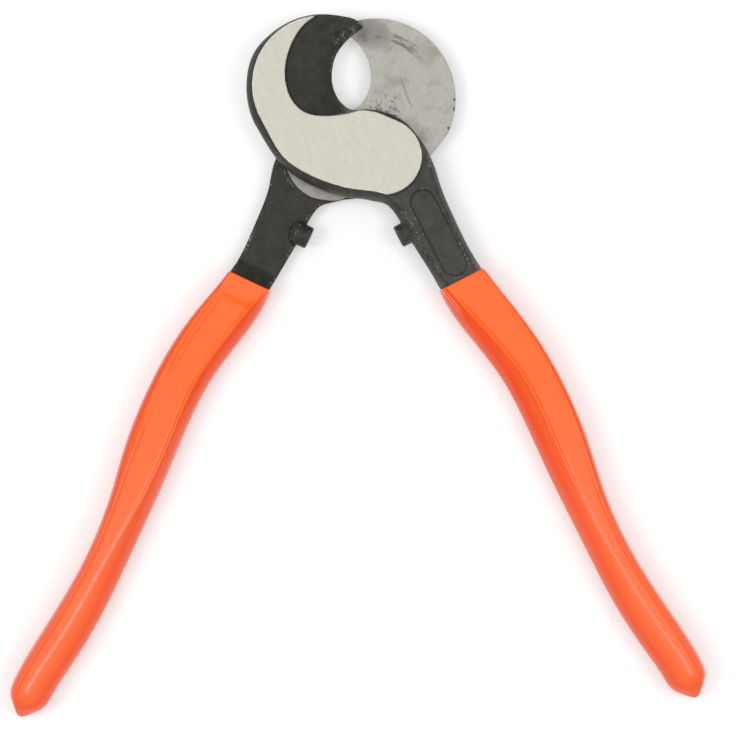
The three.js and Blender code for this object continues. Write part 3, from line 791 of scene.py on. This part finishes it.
class Look:
    """A node material, whose patterns follow the piece's own first coordinates in millimetres."""

    def __init__(self, name):
        self.material = bpy.data.materials.new(name)
        self.material.use_nodes = True
        self.tree = self.material.node_tree
        self.shader = self.tree.nodes["Principled BSDF"]
        self.place = self.add("ShaderNodeAttribute", attribute_name="shape").outputs["Vector"]

    def add(self, kind, **settings):
        node = self.tree.nodes.new(kind)
        for key, value in settings.items():
            setattr(node, key, value)
        return node

    def feed(self, socket, value):
        if isinstance(value, bpy.types.NodeSocket):
            self.tree.links.new(value, socket)
        else:
            socket.default_value = value

    def math(self, operation, a, b=0.0):
        node = self.add("ShaderNodeMath", operation=operation)
        self.feed(node.inputs[0], a)
        self.feed(node.inputs[1], b)
        return node.outputs[0]

    def product(self, *values):
        return reduce(lambda a, b: self.math("MULTIPLY", a, b), values)

    def most(self, *values):
        """The highest of several masks."""
        return reduce(lambda a, b: self.math("MAXIMUM", a, b), values)

    def distance(self, a, b):
        return self.math("ABSOLUTE", self.math("SUBTRACT", a, b))

    def range(self, value, low, high, start=0.0, end=1.0):
        """Value's share of the way from low to high, eased, as a number from start to end."""
        node = self.add("ShaderNodeMapRange", interpolation_type="SMOOTHSTEP")
        for socket, number in zip(node.inputs, (value, low, high, start, end)):
            self.feed(socket, number)
        return node.outputs[0]

    def vary(self, noise, start=0.0, end=1.0):
        """A noise spread over the numbers from start to end."""
        return self.range(noise, *MID_NOISE, start, end)

    def coordinates(self, stretch=(1, 1, 1), turn=0.0):
        """The coordinates turned about z by an angle in degrees, then scaled along each axis."""
        turned = self.add("ShaderNodeMapping", vector_type="POINT")
        turned.inputs["Rotation"].default_value = (0, 0, math.radians(turn))
        self.feed(turned.inputs["Vector"], self.place)
        scaled = self.add("ShaderNodeMapping", vector_type="POINT")
        scaled.inputs["Scale"].default_value = stretch
        self.feed(scaled.inputs["Vector"], turned.outputs[0])
        return scaled.outputs[0]

    def noise(
        self, size, detail=3.0, roughness=0.55, stretch=(1, 1, 1), turn=0.0, offset=0.0, place=None
    ):
        """Noise whose features are about size millimetres wide."""
        node = self.add("ShaderNodeTexNoise", noise_dimensions="4D")
        node.inputs["W"].default_value = offset
        node.inputs["Scale"].default_value = 1 / size
        node.inputs["Detail"].default_value = detail
        node.inputs["Roughness"].default_value = roughness
        self.feed(node.inputs["Vector"], place or self.coordinates(stretch, turn))
        return node.outputs["Fac"]

    def polar(self, centre, stretch):
        """The distance from a centre, and the angle round it times stretch millimetres."""
        x = self.math("SUBTRACT", self.component("X"), centre[0])
        y = self.math("SUBTRACT", self.component("Y"), centre[1])
        square = self.math("ADD", self.product(x, x), self.product(y, y))
        distance = self.math("SQRT", square)
        round_it = self.product(self.math("ARCTAN2", y, x), stretch)
        node = self.add("ShaderNodeCombineXYZ")
        self.feed(node.inputs[0], distance)
        self.feed(node.inputs[1], round_it)
        return distance, node.outputs[0]

    def mixed(self, share, a, b):
        node = self.add("ShaderNodeMix", data_type="RGBA")
        self.feed(node.inputs["Factor"], share)
        self.feed(node.inputs["A"], (*a, 1) if isinstance(a, tuple) else a)
        self.feed(node.inputs["B"], (*b, 1) if isinstance(b, tuple) else b)
        return node.outputs["Result"]

    def scaled(self, colour, factor):
        """A colour made lighter or darker by a factor."""
        node = self.add("ShaderNodeVectorMath", operation="SCALE")
        self.feed(node.inputs[0], colour)
        self.feed(node.inputs["Scale"], factor)
        return node.outputs[0]

    def component(self, axis):
        node = self.add("ShaderNodeSeparateXYZ")
        self.feed(node.inputs[0], self.place)
        return node.outputs[axis]

    def normal(self, axis):
        node = self.add("ShaderNodeSeparateXYZ")
        self.feed(node.inputs[0], self.add("ShaderNodeNewGeometry").outputs["Normal"])
        return node.outputs[axis]

    def spot(self, centre, size):
        """A mask that is 1 at a point and 0 beyond its sizes along x and y, in millimetres."""
        x = self.product(self.math("SUBTRACT", self.component("X"), centre[0]), 1 / size[0])
        y = self.product(self.math("SUBTRACT", self.component("Y"), centre[1]), 1 / size[1])
        square = self.math("ADD", self.product(x, x), self.product(y, y))
        return self.range(square, 1.0, 0.1)

    def bump(self, height, depth, normal=None):
        """Relief from a height between 0 and 1, depth millimetres deep."""
        node = self.add("ShaderNodeBump")
        node.inputs["Distance"].default_value = depth * MM
        self.feed(node.inputs["Height"], height)
        if normal:
            self.feed(node.inputs["Normal"], normal)
        return node.outputs["Normal"]

    def set(self, **inputs):
        for name, value in inputs.items():
            self.feed(self.shader.inputs[name.replace("_", " ")], value)
        return self.material


def ground_steel(name, base, stained):
    """Surface-ground carbon steel: fine grinding lines, a cloudy lustre and, where stained, oil marks."""
    look = Look(name)
    lines = look.noise(0.3, 2, 0.6, (1, 0.03, 1), GRIND_TURN)
    coarse = look.noise(1.1, 4, 0.65, (1, 0.22, 1), GRIND_TURN, 3.0)
    cloud = look.noise(9, 5, 0.62, offset=1.0)
    grain = look.noise(0.55, 3, 0.6, offset=8.0)
    speck = look.range(look.noise(0.7, 2, 0.5, offset=2.0), 0.68, 0.77)
    tone = look.product(
        look.vary(lines, 0.987, 1.013),
        look.vary(coarse, 0.955, 1.035),
        look.vary(cloud, 0.89, 1.07),
        look.vary(grain, 0.965, 1.03),
        look.range(speck, 0, 1, 1.0, 0.72 if stained else 0.88),
    )
    colour = look.scaled(base, tone)
    roughness = look.vary(cloud, 0.42, 0.54)
    if stained:
        marks = oil_marks(look)
        colour = look.mixed(marks, colour, STAIN)
        roughness = look.math("ADD", roughness, look.product(marks, 0.12))
    relief = look.bump(lines, 0.004, look.bump(coarse, 0.008))
    return look.set(Base_Color=colour, Metallic=0.9, Roughness=roughness, Normal=relief)


def oil_marks(look):
    """Where oil has stained a blade: smears that the other hook rubbed, pits by the throat, a scratch,
    nicks in its back, and a thin film that is darker by the hook's tip; and painted shade below the
    pivot, where the front blade shades the pad."""
    from_centre, round_it = look.polar(REAR["back"], 4.5)
    smear = look.noise(0.9, 5, 0.72, offset=5.0, place=round_it)
    rubbed = look.product(
        look.range(look.distance(from_centre, RUB_RADIUS), 2.6, 0.5),
        look.spot(*RUBBED),
        look.range(smear, 0.43, 0.62, 0.14, 0.85),
    )
    pits = look.range(look.noise(0.8, 4, 0.7, (1, 0.6, 1), 60, 6.0), 0.50, 0.63, 0, 0.72)
    scratch = look.range(look.noise(1.6, 2, 0.6, (1, 0.08, 1), 48, 9.0), 0.66, 0.71, 0, 0.35)
    nicks = [look.product(look.spot(*nick), 0.95) for nick in EDGE_NICKS]
    pits = look.product(pits, look.spot(*THROAT_PITS))
    scratch = look.product(scratch, look.spot(*SCRATCHED))
    film_and_shade = look.range(look.noise(6, 5, 0.68, offset=7.0), 0.44, 0.72, 0, 0.30)
    film_and_shade = look.math("ADD", film_and_shade, look.product(look.spot(*TIP_FILM), 0.45))
    # Painted shade: darker below the pivot, where the front blade shades the pad.
    film_and_shade = look.math("ADD", film_and_shade, look.range(look.component("Y"), -6, -14, 0, 0.30))
    return look.most(rubbed, pits, scratch, *nicks, film_and_shade)


def highlight_rim(name):
    """The chamfer that grinding leaves round a face, coloured near white as a painted highlight, duller
    in worn patches.
    """
    look = Look(name)
    # The colour is a painted highlight; this mask dulls it in worn patches.
    worn = look.range(look.noise(1.2, 3, 0.6), 0.40, 0.62)
    return look.set(Base_Color=look.mixed(worn, RIM_HIGHLIGHT, RIM_WORN_HIGHLIGHT), Metallic=0.45, Roughness=0.42)


def oxide_wear(look):
    """Where the scale has worn off: in chips along the ridges, in scuffs, and by the hook's tip."""
    bulge = look.add("ShaderNodeAttribute", attribute_name="bulge").outputs["Fac"]
    chips = look.range(look.noise(0.7, 4, 0.7, offset=3.0), 0.52, 0.65)
    patches = look.range(look.noise(6, 3, 0.6, offset=4.0), 0.46, 0.60, 0.08, 1.0)
    ridges = look.product(look.range(bulge, 0.18, 0.65), chips, patches)
    grains = look.range(look.noise(0.5, 2, 0.6, offset=9.0), 0.68, 0.74)
    scuffed = look.range(look.noise(4, 2, 0.6, (1, 0.4, 1), offset=10.0), 0.54, 0.64)
    flakes = look.range(look.noise(1.5, 5, 0.72, (1, 0.5, 1), 35, 5.0), 0.45, 0.60, 0, 0.42)
    return look.most(
        ridges, look.product(grains, scuffed, 0.6), look.product(look.spot(*HOOK_CHIPS), flakes)
    )


def black_oxide(name):
    """Blackened, as-forged steel: pebbly scale, grey specks, bright wear along its ridges, and painted
    shade in the bevel and low on its flanks.
    """
    look = Look(name)
    pebble = look.noise(0.55, 4, 0.62)
    cloud = look.noise(3.5, 5, 0.65, offset=1.0)
    # Painted shade: in the cutting bevel's recess and low on the flanks, near the other lever, the colour
    # is darker and the sheen lower.
    in_bevel = look.range(look.component("Y"), 6, 12)
    on_flank = look.range(look.component("Z"), 2.5, 1.2)
    painted_shade = look.most(in_bevel, on_flank)
    dust = look.range(look.noise(0.42, 2, 0.5, offset=2.0), 0.64, 0.76)
    base = look.mixed(look.vary(cloud), OXIDE_DARK, OXIDE_PALE)
    base = look.scaled(base, look.range(painted_shade, 0, 1, 1.0, 0.8))
    base = look.mixed(look.product(dust, 0.35), base, OXIDE_DUST)
    worn = oxide_wear(look)
    dents = look.product(look.noise(1.8, 4, 0.65, offset=6.0), look.spot(*HOOK_DENTS))
    return look.set(
        Base_Color=look.mixed(look.product(worn, 0.85), base, OXIDE_WORN),
        Metallic=look.product(worn, 0.8),
        Roughness=look.vary(pebble, 0.46, 0.62),
        Specular_IOR_Level=look.range(painted_shade, 0, 1, 0.40, 0.27),
        Specular_Tint=OXIDE_SHEEN,
        Normal=look.bump(pebble, 0.05, look.bump(cloud, 0.25, look.bump(dents, 1.6))),
    )


def dipped_vinyl(name):
    """Glossy dip-moulded vinyl: painted shade makes it redder where it turns down, a painted sheen makes
    it paler towards the handle ends, and it is dusty.
    """
    look = Look(name)
    ripple = look.noise(9, 2, 0.5, (1, 0.35, 1))
    skin = look.noise(0.5, 3, 0.6, offset=1.0)
    cloud = look.noise(20, 3, 0.5, offset=2.0)
    # Painted shade: faces that turn away from straight up or down take the darker, redder side colour.
    flat = look.range(look.math("ABSOLUTE", look.normal("Z")), 0.78, 1.0)
    colour = look.mixed(flat, VINYL_SIDE_SHADE, look.mixed(look.vary(cloud), VINYL_PANEL, VINYL_PANEL_DEEP))
    # Painted sheen: towards the handle ends the colour turns paler, as a highlight would make it.
    painted_sheen = look.range(look.component("Y"), -85, -150, 0, 0.45)
    colour = look.mixed(painted_sheen, colour, VINYL_PAINTED_SHEEN)
    dust = look.range(look.noise(0.6, 1, 0.5, offset=3.0), 0.73, 0.78)
    return look.set(
        Base_Color=look.mixed(look.product(dust, 0.3), colour, VINYL_DUST),
        Roughness=look.vary(skin, 0.17, 0.22),
        Specular_IOR_Level=0.32,
        Normal=look.bump(ripple, 0.08, look.bump(skin, 0.004)),
    )


def pale_paper(name):
    """The white sheet that the tool lies on. It looks whiter than the light it throws back."""
    look = Look(name)
    look.place = look.add("ShaderNodeTexCoord").outputs["Object"]
    paper = look.mixed(look.noise(0.002, 3, 0.6), PAPER_DARK, PAPER_PALE)
    ray = look.add("ShaderNodeLightPath").outputs
    seen = look.product(ray["Is Camera Ray"], PAPER_GLOW)
    glow = look.most(seen, look.product(ray["Is Glossy Ray"], PAPER_GLOW_REFLECTED))
    return look.set(Base_Color=paper, Roughness=0.9, Emission_Color=(1, 1, 1, 1), Emission_Strength=glow)


# ---- the tool ----
FORGING = black_oxide("black_oxide")
FRONT_STEEL = ground_steel("ground_steel", STEEL_WARM, False)
REAR_STEEL = ground_steel("stained_steel", STEEL_COOL, True)
# Ground chamfers, coloured as a painted highlight.
RIM = highlight_rim("highlight_rim")
VINYL = dipped_vinyl("dipped_vinyl")


def add_piece(piece, node, body):
    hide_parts(node)
    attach(piece, body)


for side, spec, steel in (("front", FRONT, FRONT_STEEL), ("rear", REAR, REAR_STEEL)):
    rear = side == "rear"
    forging = make_lever(f"{side}_forging", spec, rear, [FORGING, steel, RIM])
    add_piece(forging, f"{side}_lever", f"{side}_half")
    sleeve = make_grip(f"{side}_sleeve", spec, rear, VINYL)
    add_piece(sleeve, f"{side}_grip", f"{side}_half")
add_piece(make_rivet("flush_rivet", FRONT_STEEL), "pivot_rivet", "rear_half")


# ---- floor, light and camera, in metres ----
VIEW_CENTRE = (6.1 * MM, -71.5 * MM)
VIEW_WIDTH = 239.6 * MM
VIEW_HEIGHT = 1.0
VIEW_ROLL = math.radians(-0.85)
SENSOR = 36.0
SOFTBOXES = ((-0.75, 4.5), (0.75, 3.2))  # x and power of each
SOFTBOX_Y, SOFTBOX_Z, SOFTBOX_SIZE = -0.1, 1.3, 0.5
SKY_HORIZON, SKY_ZENITH = 0.55, 1.9
SKY_BAND = (0.84, 0.98)  # sines of the heights between which it brightens


def make_floor(half_side=3.0):
    bm = bmesh.new()
    bmesh.ops.create_grid(bm, x_segments=2, y_segments=2, size=half_side)
    mesh = bpy.data.meshes.new("floor")
    bm.to_mesh(mesh)
    bm.free()
    mesh.materials.append(pale_paper("pale_paper"))
    floor = bpy.data.objects.new("floor", mesh)
    bpy.context.scene.collection.objects.link(floor)


def add_light(name, place, target, size, power):
    light = bpy.data.lights.new(name, "AREA")
    light.shape = "DISK"
    light.size = size
    light.energy = power
    lamp = bpy.data.objects.new(name, light)
    lamp.location = place
    lamp.rotation_euler = (Vector(target) - Vector(place)).to_track_quat("-Z", "Y").to_euler()
    bpy.context.scene.collection.objects.link(lamp)


def make_sky(horizon, zenith):
    """A white tent: brighter overhead than at the sides."""
    world = bpy.data.worlds.new("tent")
    world.use_nodes = True
    tree = world.node_tree
    place = tree.nodes.new("ShaderNodeTexCoord")
    parts = tree.nodes.new("ShaderNodeSeparateXYZ")
    shade = tree.nodes.new("ShaderNodeMapRange")
    tree.links.new(place.outputs["Generated"], parts.inputs[0])
    tree.links.new(parts.outputs["Z"], shade.inputs["Value"])
    shade.interpolation_type = "SMOOTHSTEP"
    shade.inputs["From Min"].default_value = SKY_BAND[0]
    shade.inputs["From Max"].default_value = SKY_BAND[1]
    shade.inputs["To Min"].default_value = horizon
    shade.inputs["To Max"].default_value = zenith
    tree.links.new(shade.outputs[0], tree.nodes["Background"].inputs["Strength"])
    tree.nodes["Background"].inputs["Color"].default_value = (1, 1, 1, 1)
    return world


make_floor()
for x, power in SOFTBOXES:
    add_light("softbox", (x, SOFTBOX_Y, SOFTBOX_Z), (*VIEW_CENTRE, 0), SOFTBOX_SIZE, power)

scene = bpy.context.scene
scene.world = make_sky(SKY_HORIZON, SKY_ZENITH)
scene.view_settings.view_transform = "Standard"

lens = bpy.data.cameras.new("camera")
lens.sensor_width = SENSOR
lens.lens = SENSOR * VIEW_HEIGHT / VIEW_WIDTH
lens.clip_start = 0.01
camera = bpy.data.objects.new("camera", lens)
camera.location = (*VIEW_CENTRE, LIFT * MM + VIEW_HEIGHT)
camera.rotation_euler = (0, 0, VIEW_ROLL)
scene.collection.objects.link(camera)
scene.camera = camera
